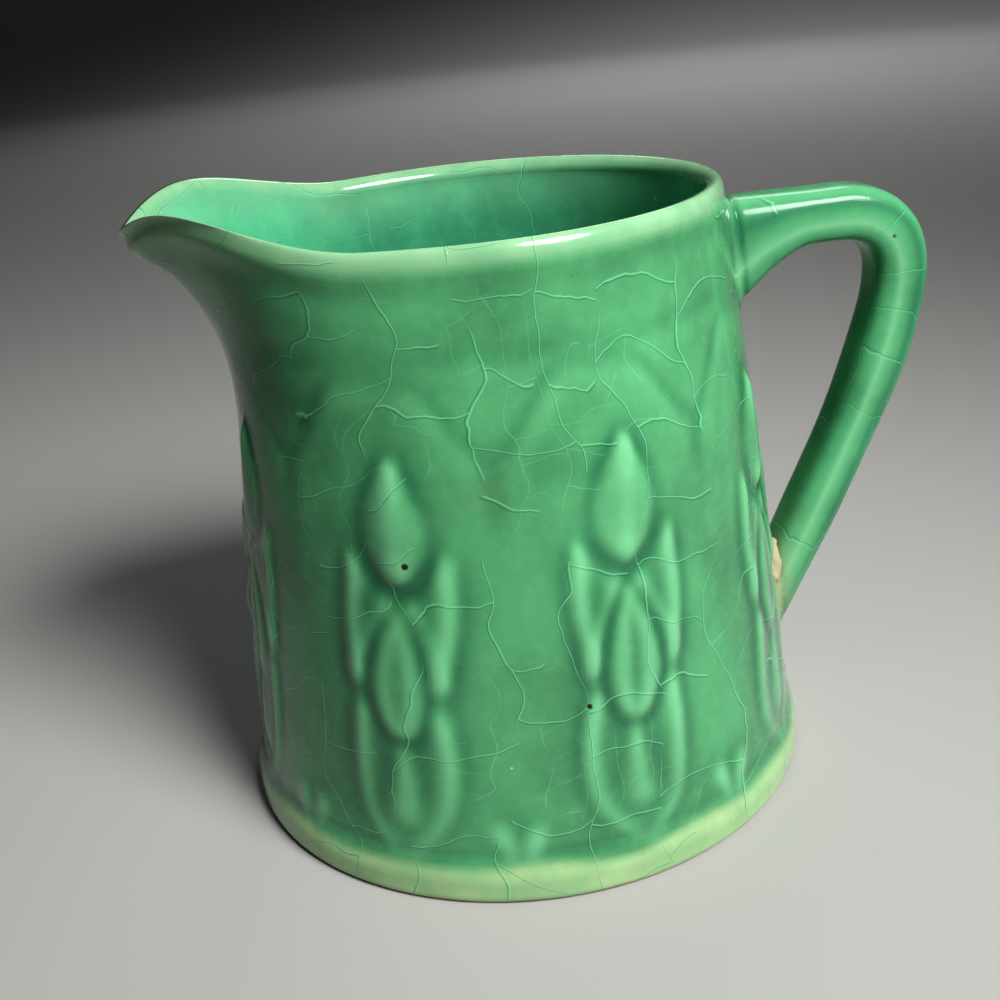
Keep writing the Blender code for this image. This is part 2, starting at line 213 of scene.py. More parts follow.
class Slices:
    """Upright slices of the wall, counted from the handle round by the spout and back."""

    def __init__(self):
        quarter = np.linspace(0, math.pi / 2, ROUND_COLUMNS // 2, endpoint=False)
        turn = np.concatenate([np.linspace(0, 1, SPOUT_COLUMNS, endpoint=False),
                               np.linspace(1, 0, SPOUT_COLUMNS, endpoint=False)])
        side = np.repeat([1.0, -1.0], SPOUT_COLUMNS)
        flat = np.full(len(quarter), RIM_HEIGHT)
        self.top = np.concatenate([flat, self.lip_height(turn), flat])
        self.reach = {}
        self.angle = {}
        for key, distance in (("outer", CREST_INSET), ("crest", 0.0),
                              ("lip_inner", -LIP_INNER_WIDTH),
                              ("inner", CREST_INSET - WALL_THICKNESS)):
            point = beside_crest(turn, distance)
            spout_angle = math.pi - side * np.arctan2(point[:, 1], point[:, 0])
            self.angle[key] = np.concatenate([quarter, spout_angle,
                                              quarter + 3 * math.pi / 2])
            round_reach = np.full(len(quarter), CREST_RADIUS + distance)
            spout_reach = np.linalg.norm(point, axis=-1)
            self.reach[key] = np.concatenate([round_reach, spout_reach, round_reach])

    @staticmethod
    def lip_height(turn):
        """Height of the crest: level, up to the shoulder, then down to the tip."""
        rise = SHOULDER_RISE * ramp(0.25, 0.66, turn)
        drop = (SHOULDER_RISE - TIP_RISE) * ramp(0.66, 1.0, turn)
        return RIM_HEIGHT + rise - drop

    def radius(self, key, z):
        """Distance from the axis of the outer or inner surface at heights z."""
        inset = 0.0 if key == "outer" else WALL_THICKNESS
        plain = wall_radius(self.top) - inset
        t = np.clip((z - FLARE_START) / (self.top - FLARE_START), 0, None)
        return wall_radius(z) - inset + (self.reach[key] - plain) * t ** FLARE_POWER

    def place(self, key, radius, z):
        """Points at the given distances from the axis and heights."""
        angle = np.broadcast_to(self.angle[key], np.shape(radius))
        return np.stack([radius * np.cos(angle), radius * np.sin(angle),
                         np.broadcast_to(z, np.shape(radius))], -1)


# ---------------------------------------------------------------- relief, in millimetres
def bud(across, height, low, high, half_width, widest, keel):
    """Almond-shaped bud, rounded below and pointed above. keel 1 gives it a raised middle line."""
    s = (height - low) / (high - low)
    below = np.sqrt(np.clip(1 - ((widest - s) / widest) ** 2, 0, 1))
    above = np.clip(1 - np.clip((s - widest) / (1 - widest), 0, 1) ** 1.6, 0, 1)
    width = half_width * np.where(s < widest, below, above)
    inside = (s > 0) & (s < 1)
    share = np.where(inside, np.abs(across) / np.maximum(width, 0.05), 2.0)
    tent = np.clip(1 - share, 0, 1)
    swell = np.clip(1 - share ** 2, 0, 1) ** 0.55
    return keel * (0.55 * tent + 0.45 * swell) + (1 - keel) * swell


def ridge(across, height, start, end, width):
    """Soft ridge along a straight line from start to end."""
    direction = np.array(end) - np.array(start)
    length = np.hypot(*direction)
    direction = direction / length
    da = across - start[0]
    dz = height - start[1]
    along = da * direction[0] + dz * direction[1]
    off = da * direction[1] - dz * direction[0]
    beyond = np.maximum(np.maximum(-along, along - length), 0)
    return np.exp(-(off ** 2 + beyond ** 2) / width ** 2)


def leaf_bunch(a, z):
    """Two buds one over the other between two tiers of leaves. a is 0 on the middle line."""
    side = np.abs(a)
    # Outline: two tiers that meet at a pinch, rounded at the bottom and open at the top.
    pinch = 43.0
    upper = 10.2 + 2.1 * np.sin(np.pi * np.clip((z - pinch) / 34.0, 0, 1))
    lower = 10.0 + 1.9 * np.sin(np.pi * np.clip((pinch - z) / 30.0, 0, 1))
    outline = np.where(z > pinch, upper, lower)
    bottom_round = np.sqrt(np.clip(1 - ((21.0 - z) / 12.4) ** 2, 0, 1))
    outline = np.where(z < 21.0, outline * bottom_round, outline)
    top = 65.0 + 8.5 * np.clip(side / 9.5, 0, 1.2) ** 2
    inside = ramp(-0.5, 1.6, outline - side) * ramp(-0.3, 3.0, top - z)
    # Raised edge of the leaves, a blade inside each of the upper ones, a groove outside them.
    notch = 1 - 0.55 * np.exp(-((z - pinch) / 2.2) ** 2)
    from_edge = side - outline + 2.2
    fall = np.where(from_edge < 0, 2.8, 1.5)
    strength = np.where(z > pinch, 1.15, 0.45 + 0.75 * ramp(9.0, 38.0, z))
    edge = np.exp(-(from_edge / fall) ** 2) * ramp(-0.5, 3.5, top - z)
    blade = ridge(side, z, (2.6, 62.0), (8.6, 47.0), 2.0)
    height = 0.15 * inside + strength * edge * notch * inside + 0.85 * blade * inside * notch
    tall = ramp(8.0, 14.0, z) * ramp(top + 1.0, top - 4.0, z)
    height -= 0.42 * np.exp(-((side - outline - 1.2) / 1.6) ** 2) * tall
    # Pointed leaf at the bottom, then the two buds, each in its own hollow.
    spear_width = 1.1 + 4.2 * ramp(36.0, 19.0, z)
    spear = np.clip(1 - side / spear_width, 0, 1) ** 0.8 * ramp(13.0, 20.0, z)
    height = np.maximum(height, 1.15 * spear * ramp(37.5, 34.0, z))
    top_bud = bud(a, z, 67.0, 91.0, 6.7, 0.42, 1.0)
    low_bud = bud(a, z, 35.0, 62.5, 6.4, 0.42, 0.0)
    top_moat = bud(a, z, 65.4, 92.0, 7.9, 0.42, 0.0)
    low_moat = bud(a, z, 33.6, 64.0, 7.7, 0.42, 0.0)
    moat = np.clip(np.maximum(top_moat, low_moat) * 2, 0, 1)
    height = height * (1 - 0.88 * moat) - 0.25 * moat
    groove = 1 - 0.38 * np.exp(-(a / 1.3) ** 2)
    height = np.maximum(height, 2.1 * top_bud)
    return np.maximum(height, 1.9 * low_bud * groove)


def arches(share, z):
    """Row of round-topped panels. share runs from -1 to 1 across one repeat."""
    side = np.abs(share)
    crown = 104.0 - 15.5 * ramp(0.30, 1.02, side)
    panel = ramp(-2.2, 4.0, crown - z)
    split = np.exp(-(((1 - side) * 21.0) / 2.4) ** 2) * ramp(66.0, 86.0, z)
    collar = 107.5
    between = ramp(1.2, 3.2, z - crown) * ramp(0.0, 2.4, collar - z)
    body = ramp(52.0, 84.0, z)
    return body * (0.60 * panel * (1 - 0.7 * split) + 0.26 * between) + 0.16 * ramp(108.0, 112.0, z)


def sprout(a, z):
    """Pair of short leaves between two bunches, just above the foot."""
    side = np.abs(a)
    lobe = ridge(side, z, (1.4, 10.0), (3.4, 14.5), 2.0)
    return 1.0 * lobe * (1 - 0.5 * np.exp(-(a / 0.8) ** 2))


def relief(angle, z, radius):
    """Height of the relief in metres over the whole outer wall."""
    repeat = 2 * math.pi / MOTIFS
    local = (angle - MOTIF_FIRST_ANGLE + repeat / 2) % repeat - repeat / 2
    zz = z / MM
    # Each bunch leans a little and was pressed slightly differently.
    number = np.round((angle - MOTIF_FIRST_ANGLE) / repeat) % MOTIFS
    lean = 1.0 + 0.05 * (zz - 47.0) + 0.4 * np.sin(0.16 * zz + 2.3 * number)
    a = local * radius / MM - lean
    zz = zz + 0.6 * np.sin(0.25 * a + 1.9 * number)
    share = local / (repeat / 2)
    between = (local + repeat) % repeat - repeat / 2
    away_from_spout = np.abs(angle % (2 * math.pi) - math.pi)
    calm = ramp(math.radians(22), math.radians(42), away_from_spout)
    field = leaf_bunch(a, zz)
    field = field + arches(share, zz) * (0.25 + 0.75 * calm)
    field = np.maximum(field, sprout(between * radius / MM + 1.5, zz))
    return RELIEF_SHARE * field * MM


def hand_wobble(angle, z):
    """Slow unevenness of a hand-finished wall."""
    return 0.11 * MM * (np.sin(3 * angle + 37 * z) + 0.7 * np.sin(5 * angle - 61 * z + 1.3)
                        + 0.5 * np.sin(8 * angle + 95 * z + 2.1))


# ---------------------------------------------------------------- glazed skin
def foot_profile(z):
    """How far the flange stands out beyond the plain cone."""
    cove = 1 - ramp(4.5 * MM, FOOT_HEIGHT + 2.0 * MM, z)
    edge = FOOT_EDGE_ROUNDING
    tuck = edge - np.sqrt(np.clip(edge ** 2 - np.clip(edge - z, 0, edge) ** 2, 0, None))
    return (FOOT_RADIUS - wall_radius(z)) * cove - tuck


def outer_skin(slices):
    """Rows from the foot's lower edge up the wall, as far as the start of the lip."""
    band = FOOT_HEIGHT + 3.0 * MM
    foot_z = band * (np.linspace(0, 1, FOOT_ROWS, endpoint=False) ** 1.5)[:, None]
    foot_z = np.broadcast_to(foot_z, (FOOT_ROWS, len(slices.top)))
    share = np.linspace(0, 1, WALL_ROWS)[:, None]
    wall_z = band + (slices.top - LIP_OUTER_DROP - band) * share
    z = np.vstack([foot_z, wall_z])
    angle = np.broadcast_to(slices.angle["outer"], z.shape)
    plain = slices.radius("outer", z)
    raised = relief(angle, z, plain) * ramp(7.0 * MM, 10.5 * MM, z)
    # A soft roll under the lip, and a fuller one under the spout's nose.
    depth = slices.top - z
    roll = 0.35 * MM * np.exp(-((depth - 4.2 * MM) / (2.0 * MM)) ** 2)
    roll -= 0.25 * MM * np.exp(-((depth - 9.0 * MM) / (2.6 * MM)) ** 2)
    raised = blur(raised, 3, True)
    nose = np.exp(-((slices.angle["outer"] - math.pi) / 0.20) ** 2)
    roll = roll + 1.3 * MM * nose * np.exp(-((depth - 5.0 * MM) / (3.4 * MM)) ** 2)
    radius = plain + foot_profile(z) + raised + roll + hand_wobble(angle, z) * ramp(0, band, z)
    wall = slices.place("outer", radius, z)
    return wall, z, raised, radius


def lip_rows(slices, outer_radius):
    """Rounded lip, from the last outer row over the crest to the inner edge."""
    rows = []
    for i in range(1, LIP_ROWS):
        turn = math.pi * i / LIP_ROWS
        away = abs(math.cos(turn))
        if turn < math.pi / 2:
            side_reach = outer_radius
            side_angle = slices.angle["outer"]
            side_drop = LIP_OUTER_DROP
        else:
            side_reach = slices.reach["lip_inner"]
            side_angle = slices.angle["lip_inner"]
            side_drop = LIP_INNER_DROP
        radius = slices.reach["crest"] * (1 - away) + side_reach * away
        angle = slices.angle["crest"] * (1 - away) + side_angle * away
        height = slices.top - side_drop * (1 - math.sin(turn))
        rows.append(np.stack([radius * np.cos(angle), radius * np.sin(angle), height], -1))
    return np.array(rows)


def inner_row(slices, z):
    """One row of the inner surface. It eases out from the lip's inner edge to full thickness."""
    depth = slices.top - z
    ease = ramp(LIP_INNER_DROP, LIP_INNER_DROP + 9 * MM, depth)
    inner = slices.radius("inner", z)
    near = inner + (WALL_THICKNESS - CREST_INSET - LIP_INNER_WIDTH)
    radius = near * (1 - ease) + inner * ease
    angle = slices.angle["lip_inner"] * (1 - ease) + slices.angle["inner"] * ease
    return np.stack([radius * np.cos(angle), radius * np.sin(angle),
                     np.broadcast_to(z, radius.shape)], -1)


def fade_down_inside(depth):
    """How thin the glaze is on the inner surface, at a depth below the lip."""
    return INSIDE_THIN * (1 - ramp(LIP_INNER_DROP, 18 * MM, depth)) ** 1.5


def build_skin(slices, material):
    """Outer surface with foot and lip. Returns its first and last rows and its length."""
    bearing = slices.angle["outer"]
    wall, z, raised, radius = outer_skin(slices)
    lip = lip_rows(slices, radius[-1])
    depths = np.linspace(LIP_INNER_DROP, SEAM_DEPTH, INNER_ROWS)
    inside = np.array([inner_row(slices, slices.top - depth) for depth in depths])
    points = np.concatenate([wall, lip, inside])
    count = len(points)
    extra = count - len(z)
    # Glaze runs off high places and gathers in low ones.
    wide = blur(raised, 14, True)
    proud = np.clip((raised - wide) / (0.27 * MM), -1, 1)
    thin = np.clip(proud, 0, 1)
    pool = np.clip(-proud * 1.3, 0, 1)
    pool = np.maximum(pool, 0.5 * np.exp(-((z - 10.8 * MM) / (1.5 * MM)) ** 2))
    depth = slices.top - z
    bare = 1 - ramp(0.5 * MM, 1.1 * MM, z + 0.3 * MM * np.sin(23 * bearing))
    pour = np.exp(-(np.abs(bearing - math.pi) / 0.55) ** 2)
    edge_thin = (0.66 + 0.25 * pour) * (1 - ramp(2.2 * MM, (5.0 + 5.0 * pour) * MM, depth))
    drift = 0.7 * MM * (np.sin(8 * bearing) + np.sin(13 * bearing + 1))
    foot_thin = 0.85 * (1 - ramp(6.6 * MM, 9.0 * MM, z + 0.6 * drift))
    tail = np.ones((extra, z.shape[1]))
    over = math.pi * np.arange(1, LIP_ROWS) / LIP_ROWS
    outer_half = 0.66 + 0.34 * np.sin(over)
    inner_half = INSIDE_THIN + (1 - INSIDE_THIN) * np.sin(over)
    over_fade = np.where(over < math.pi / 2, outer_half, inner_half)
    inside_fade = np.concatenate([over_fade, fade_down_inside(depths)])
    turned_in = np.concatenate([ramp(math.pi / 2, math.pi, over), np.ones(INNER_ROWS)])
    run = run_down(points, 0.0)
    attributes = {
        "thin_glaze_and_painted_highlight": np.vstack([thin, 0 * tail]),
        "pooled_glaze_and_painted_shade": np.vstack([pool, 0 * tail]),
        "edge_glaze_and_painted_highlight": np.vstack([edge_thin, tail * inside_fade[:, None]]),
        "glaze_foot": np.vstack([foot_thin, 0 * tail]),
        "bare_clay": np.vstack([bare, 0 * tail]),
        "inner_share": np.vstack([0 * bare, tail * turned_in[:, None]]),
        "flow_u": np.broadcast_to(bearing * FLOW_RADIUS, (count, z.shape[1])),
        "flow_v": run,
    }
    mesh = grid_mesh("glazed_skin", points, True, attributes)
    nodes = ["body_wall", "pouring_spout", "foot_ring"]
    nodes += [f"leaf_relief_{i + 1}" for i in range(MOTIFS)]
    add_piece("glazed_skin", mesh, material, nodes)
    return points[0], points[-1], run[-1]


def build_inside(slices, material, first_row, first_run):
    """Inner surface from the skin's last row down to the middle of the floor."""
    cove = FLOOR_COVE
    rows = [first_row]
    down = np.linspace(0, 1, 40)[1:]
    start = slices.top - SEAM_DEPTH
    for share in down:
        z = start + (FLOOR_TOP + cove - start) * share
        rows.append(inner_row(slices, z))
    angle = slices.angle["inner"]
    base = wall_radius(FLOOR_TOP + cove) - WALL_THICKNESS
    for i in range(1, 11):
        turn = math.pi / 2 * i / 10
        radius = base - cove * (1 - math.cos(turn))
        height = FLOOR_TOP + cove * (1 - math.sin(turn))
        rows.append(np.stack([radius * np.cos(angle), radius * np.sin(angle),
                              np.full(angle.shape, height)], -1))
    for share in np.linspace(1, 0, 16)[1:]:
        radius = (base - cove) * max(share, 0.004)
        rise = 0.4 * MM * (1 - share) ** 2
        rows.append(np.stack([radius * np.cos(angle), radius * np.sin(angle),
                              np.full(angle.shape, FLOOR_TOP + rise)], -1))
    points = np.array(rows)
    shape = points.shape[:2]
    attributes = {
        "thin_glaze_and_painted_highlight": np.zeros(shape),
        "pooled_glaze_and_painted_shade": 0.15 * ramp(SEAM_DEPTH, 20 * MM, slices.top - points[:, :, 2]),
        "edge_glaze_and_painted_highlight": fade_down_inside(slices.top - points[:, :, 2]),
        "glaze_foot": np.zeros(shape),
        "bare_clay": np.zeros(shape),
        "flow_u": np.broadcast_to(slices.angle["inner"] * FLOW_RADIUS, shape),
        "flow_v": run_down(points, first_run),
    }
    mesh = grid_mesh("glazed_inside", points, True, attributes)
    return add_piece("glazed_inside", mesh, material, [])


def build_bare_foot(slices, material, edge_row):
    """Unglazed underside. It meets the skin's lowest row and is flat where it stands."""
    edge_radius = np.linalg.norm(edge_row[:, :2], axis=-1)
    angle = slices.angle["outer"]
    rows = []
    for share in np.linspace(0.003, 1, 60):
        radius = edge_radius * share
        ring_marks = 0.05 * MM * (1 + np.sin(radius * 2400 + 0.6 * np.sin(3 * angle)))
        hollow = ring_marks * ramp(0.02, 0.1, share) * ramp(1.0, 0.9, share)
        rows.append(np.stack([radius * np.cos(angle), radius * np.sin(angle), hollow], -1))
    points = np.array(rows)
    shape = points.shape[:2]
    mesh = grid_mesh("bare_foot", points, True, {"foot_share": np.broadcast_to(
        np.linspace(0, 1, shape[0])[:, None], shape)})
    return add_piece("bare_foot", mesh, material, ["base_floor"])


# ---------------------------------------------------------------- handle
def handle_stations():
    """Centre line points with a share: 0 to 1 along the top, 1 to 2 down the grip."""
    stations = []
    for t in np.linspace(0, 1, 60, endpoint=False):
        x = HANDLE_START_X + (HANDLE_BEND[0][0] - HANDLE_START_X) * t
        stations.append((x, HANDLE_TOP_LINE, t))
    for t in np.linspace(0, 1, 50, endpoint=False):
        stations.append((*cubic(HANDLE_BEND, t), 1.0))
    for t in np.linspace(0, 1.0, 170):
        stations.append((*cubic(HANDLE_GRIP, t), 1.0 + t))
    return stations


def by_share(values, share):
    """Size at a station, from sizes at the start, the bend and the lower end."""
    if share <= 1:
        return values[0] + (values[1] - values[0]) * share
    return values[1] + (values[2] - values[1]) * (share - 1)


def collar_swell(distance):
    """Extra half thickness near the wall: a rounded collar, a fine groove, then nothing."""
    collar = COLLAR_OVERHANG * (1 - ramp(0.55, 1.25, distance / COLLAR_THICKNESS))
    groove = 0.35 * MM * np.exp(-((distance - 1.45 * COLLAR_THICKNESS) / (0.6 * MM)) ** 2)
    return collar - groove


def build_handle(material):
    """Strap with a rounded-square section, a fillet under its top end and two collars."""
    section = HANDLE_SECTION_POINTS
    stations = handle_stations()
    line = np.array([(x, 0, z) for x, z, _ in stations])
    along = np.gradient(line, axis=0)
    along /= np.linalg.norm(along, axis=1)[:, None]
    outward = np.cross(np.array([0.0, 1.0, 0.0]), along)
    turn = np.linspace(0, 2 * math.pi, section, endpoint=False)
    power = 2 / HANDLE_SQUARENESS
    c = np.sign(np.cos(turn)) * np.abs(np.cos(turn)) ** power
    s = np.sign(np.sin(turn)) * np.abs(np.sin(turn)) ** power
    rows = []
    collar_rows = []
    joint_rows = []
    seam_rows = []
    travelled = 0.0
    flow = []
    for i, (x, z, share) in enumerate(stations):
        half_width = by_share(HANDLE_HALF_WIDTHS, share)
        half_depth = by_share(HANDLE_HALF_DEPTHS, share)
        drop = 0.0
        # The fillet deepens the section downward where the strap's top end nears the wall.
        if share < 1:
            t = np.clip(1 - (x - wall_radius(RIM_HEIGHT)) / FILLET_LENGTH, 0, 1)
            drop = FILLET_DEPTH * t ** FILLET_POWER
        middle = line[i] - np.array([0, 0, drop / 2])
        across = np.array([0.0, 1.0, 0.0]) * c[:, None] * half_width
        deep = outward[i] * s[:, None] * (half_depth + drop / 2)
        ring = middle + across + deep
        normal = (across / half_width ** 2 + deep / (half_depth + drop / 2) ** 2)
        normal /= np.linalg.norm(normal, axis=1)[:, None]
        distance = np.hypot(ring[:, 0], ring[:, 1]) - wall_radius(ring[:, 2])
        away = ring * np.array([1, 1, 0])
        away /= np.linalg.norm(away, axis=1)[:, None]
        tangent = normal - away * np.sum(normal * away, axis=1)[:, None]
        swell = collar_swell(np.maximum(distance, 0))
        ring = ring + tangent * swell[:, None]
        wobble = 0.12 * MM * (math.sin(i * 0.09) + 0.6 * math.sin(i * 0.041 + 1))
        ring = ring + normal * wobble
        rows.append(ring)
        collar_rows.append(np.clip(swell / COLLAR_OVERHANG, 0, 1))
        # Glaze is thin over the lower joint and gathers in the corners beside each collar.
        lower_end = ramp(1.4, 1.7, share)
        joint_rows.append(lower_end * np.exp(-(np.maximum(distance, 0) / (10 * MM)) ** 2))
        beside_wall = np.exp(-((distance - 0.4 * MM) / (0.7 * MM)) ** 2)
        beside_collar = 0.8 * np.exp(-((distance - 1.45 * COLLAR_THICKNESS) / (0.7 * MM)) ** 2)
        seam_rows.append(beside_wall + beside_collar)
        if i:
            travelled += np.linalg.norm(line[i] - line[i - 1])
        flow.append(np.full(section, travelled))
    points = np.array(rows)
    collar = np.array(collar_rows)
    # Painted light: a pale painted highlight band along the middle of each flat side, a thin
    # painted reflection along the outer corners, and painted shade between them and a little on the
    # inner side.
    facing_out = -s
    band = np.exp(-((facing_out + 0.20) / 0.17) ** 2)
    rim = np.exp(-((facing_out - 0.97) / 0.06) ** 2) * (np.abs(c) > 0.3)
    painted_shade_strip = np.exp(-((facing_out - 0.50) / 0.24) ** 2)
    flat_side = ramp(0.35, 0.9, np.abs(c))
    shape = points.shape[:2]
    thin = (band * flat_side + 0.5 * rim)[None, :] * np.ones(shape)
    pool = np.maximum(0.12 * np.clip(s, 0, 1), 0.75 * painted_shade_strip * flat_side)
    pool = pool[None, :] * np.ones(shape)
    joint = np.array(joint_rows)
    # On the handle these attributes carry its painted highlight, painted reflection and painted
    # shade, beside the glaze gathered at the collars.
    attributes = {
        "thin_glaze_and_painted_highlight": 0.50 * thin,
        "pooled_glaze_and_painted_shade": np.clip(pool + np.array(seam_rows), 0, 1),
        "edge_glaze_and_painted_highlight": np.clip(0.10 * collar + 0.32 * thin + 0.30 * joint, 0, 1),
        "glaze_foot": np.zeros(shape),
        "bare_clay": 0.75 * joint ** 6 * np.clip(0.3 + s - c, 0, 1),
        "flow_u": np.broadcast_to(turn * 7 * MM, shape) + HANDLE_FLOW_START,
        "flow_v": np.array(flow),
    }
    mesh = grid_mesh("glazed_handle", points, True, attributes)
    nodes = ("handle", "handle_upper_joint", "handle_lower_joint")
    add_piece("glazed_handle", mesh, material, nodes)
    return points


def build_crumb(handle_points, material):
    """Bead of bare clay left in the sharp corner where the handle's foot meets the wall."""
    gap = np.hypot(handle_points[:, :, 0], handle_points[:, :, 1])
    gap = gap - wall_radius(handle_points[:, :, 2])
    section = handle_points.shape[1]
    corner = []
    for column in range(CRUMB_FIRST_COLUMN, section // 2 + 1):
        reach = (1.1 + 1.9 * ramp(30, 20, column)) * MM
        below = CRUMB_SEARCH_STATION
        while gap[below, column] > reach and below < len(gap) - 1:
            below += 1
        corner.append(handle_points[below, column])
    corner = np.array(corner)
    turn = np.linspace(0, 2 * math.pi, CRUMB_SIDES, endpoint=False)
    rows = []
    for i, point in enumerate(corner):
        share = i / (len(corner) - 1)
        girth = (0.6 + 1.15 * ramp(0.35, 0.55, share) - 1.55 * ramp(0.78, 1.0, share)) * MM
        girth *= 1 + 0.14 * math.sin(i * 1.3) + 0.12 * math.sin(i * 0.6 + 1)
        lumps = girth * (1 + 0.15 * np.sin(3 * turn + i * 0.9))
        along = corner[min(i + 1, len(corner) - 1)] - corner[max(i - 1, 0)]
        along = along / np.linalg.norm(along)
        first = np.cross(along, (0.3, 0.2, 0.93))
        first /= np.linalg.norm(first)
        second = np.cross(along, first)
        rows.append(point + lumps[:, None] * (np.cos(turn)[:, None] * first
                                              + np.sin(turn)[:, None] * second))
    points = np.array(rows)
    mesh = grid_mesh("luting_crumb", points, True, {"foot_share": np.zeros(points.shape[:2])})
    return add_piece("luting_crumb", mesh, material, [])


# ---------------------------------------------------------------- materials
class Nodes:
    """Short calls for building one node material."""

    def __init__(self, name):
        self.material = bpy.data.materials.new(name)
        self.material.use_nodes = True
        self.tree = self.material.node_tree
        self.shader = self.tree.nodes["Principled BSDF"]

    def add(self, kind, links=None, **settings):
        """New node with its settings, and its sockets linked or set."""
        node = self.tree.nodes.new(kind)
        for key, value in settings.items():
            setattr(node, key, value)
        for key, value in (links or {}).items():
            self.feed(node, key, value)
        return node

    def feed(self, node, key, value):
        socket = node.inputs[key]
        if isinstance(value, bpy.types.NodeSocket):
            self.tree.links.new(value, socket)
        else:
            socket.default_value = value

    def attribute(self, name):
        return self.add("ShaderNodeAttribute", attribute_name=name).outputs["Fac"]

    def math(self, operation, first, second=0.0, third=0.0):
        node = self.add("ShaderNodeMath", {0: first, 1: second, 2: third}, operation=operation)
        return node.outputs[0]

    def between(self, value, low, high, start=0.0, end=1.0):
        """Smooth step from start at low to end at high."""
        links = {"Value": value, "From Min": low, "From Max": high, "To Min": start,
                 "To Max": end}
        node = self.add("ShaderNodeMapRange", links, interpolation_type="SMOOTHSTEP")
        return node.outputs["Result"]

    def mix(self, share, first, second):
        node = self.add("ShaderNodeMix", data_type="RGBA")
        self.feed(node, "Factor", share)
        for name, value in (("A", first), ("B", second)):
            socket = next(s for s in node.inputs if s.name == name and s.type == "RGBA")
            if isinstance(value, bpy.types.NodeSocket):
                self.tree.links.new(value, socket)
            else:
                socket.default_value = (*value, 1.0)
        return next(s for s in node.outputs if s.type == "RGBA")

    def noise(self, vector, scale, detail=2.0, roughness=0.5):
        links = {"Vector": vector, "Scale": scale, "Detail": detail, "Roughness": roughness}
        return self.add("ShaderNodeTexNoise", links).outputs

    def place(self):
        return self.add("ShaderNodeTexCoord").outputs["Object"]


GLAZE_DEEP = (0.003, 0.070, 0.038)
GLAZE_MID = (0.083, 0.310, 0.141)
GLAZE_PALE = (0.210, 0.570, 0.310)
GLAZE_EDGE = (0.245, 0.460, 0.265)
GLAZE_INNER = (0.066, 0.370, 0.200)
GLAZE_FOOT = (0.350, 0.510, 0.258)
GLAZE_HANDLE = (0.090, 0.350, 0.165)
GLAZE_STAIN = (0.26, 0.36, 0.16)
CRACK_PALE = (0.19, 0.62, 0.34)
PINHOLE_DARK = (0.02, 0.02, 0.012)
IRON_BROWN = (0.06, 0.07, 0.02)
FLECK_PALE = (0.62, 0.60, 0.48)
CLAY_BUFF = (0.31, 0.30, 0.17)
CLAY_WARM = (0.35, 0.30, 0.19)
CLAY_GRIT = (0.33, 0.24, 0.16)
STAGE_GAP = 0.02 * MM                     # keeps the floor clear of the pitcher's foot
STAGE_TONES = ((0.35, 0.35, 0.342), (0.38, 0.38, 0.372))
CLOUD_DARKNESS = 0.62                     # how dark the darker patches of a glaze are

# Crazing: spacing of upright cracks, spacing of rungs, then a seed for the random draws.
COARSE_CRACKS = (16.5 * MM, 12.5 * MM, 3.0)
FINE_CRACKS = (8.7 * MM, 7.1 * MM, 11.0)
# How far aside the painted shadow of each crack is drawn.
CRACK_SHADE_OFFSET = 0.26 * MM


def chance(nodes, first, second):
    """Three random shares that stay the same for one pair of whole numbers."""
    pair = nodes.add("ShaderNodeCombineXYZ", {"X": first, "Y": second}).outputs[0]
    noise = nodes.add("ShaderNodeTexWhiteNoise", {"Vector": pair}, noise_dimensions="2D")
    return nodes.add("ShaderNodeSeparateColor", {"Color": noise.outputs["Color"]}).outputs


def crazing(nodes, flow, line, column, row, seed):
    """Fine cracks: long upright runs, joined by bowed rungs that stop where they meet one."""
    parts = nodes.add("ShaderNodeSeparateXYZ", {"Vector": flow}).outputs
    across = nodes.math("DIVIDE", parts["X"], column)
    post = nodes.math("ROUND", across)
    bay = nodes.math("FLOOR", across)
    off = nodes.math("ABSOLUTE", nodes.math("SUBTRACT", across, post))
    upright = nodes.between(nodes.math("MULTIPLY", off, column), 0.0, line, 1.0, 0.0)
    lot = chance(nodes, bay, seed)
    middle = nodes.math("SUBTRACT", nodes.math("FRACT", across), 0.5)
    slope = nodes.math("MULTIPLY", nodes.math("SUBTRACT", lot["Red"], 0.5), 0.9)
    bow = nodes.math("MULTIPLY", nodes.math("SUBTRACT", lot["Blue"], 0.35), 1.8)
    curve = nodes.math("MULTIPLY_ADD", bow, middle, slope)
    down = nodes.math("MULTIPLY_ADD", curve, middle, lot["Green"])
    down = nodes.math("ADD", nodes.math("DIVIDE", parts["Y"], row), down)
    rung = nodes.math("ROUND", down)
    off = nodes.math("ABSOLUTE", nodes.math("SUBTRACT", down, rung))
    arc = nodes.between(nodes.math("MULTIPLY", off, row), 0.0, line, 1.0, 0.0)
    draw = chance(nodes, nodes.math("MULTIPLY_ADD", bay, 7.0, seed), rung)
    kept = nodes.math("GREATER_THAN", draw["Red"], 0.25)
    end = nodes.math("MULTIPLY", draw["Green"], 1.2)
    reach = nodes.between(nodes.math("SUBTRACT", end, middle), 0.0, 0.06)
    arc = nodes.math("MULTIPLY", arc, nodes.math("MULTIPLY", kept, reach))
    shifted = nodes.add("ShaderNodeVectorMath", {0: flow, 1: (seed, seed, 0.0)},
                        operation="ADD").outputs[0]
    gate = nodes.between(nodes.noise(shifted, 34.0, 1.0)["Fac"], 0.44, 0.50)
    return nodes.math("MAXIMUM", arc, nodes.math("MULTIPLY", upright, gate))


def spot(nodes, place, where, size):
    """A small round mark at one place on the surface."""
    distance = nodes.add("ShaderNodeVectorMath", {0: place, 1: where},
                         operation="DISTANCE").outputs["Value"]
    return nodes.between(distance, 0.6 * size, size, 1.0, 0.0)


def on_wall(degrees, height, size, proud=0.5):
    """Place and size of a mark on the outer wall, from its bearing and millimetres."""
    turn = math.radians(degrees)
    reach = wall_radius(height * MM) + proud * MM
    return (reach * math.cos(turn), reach * math.sin(turn), height * MM), size * MM


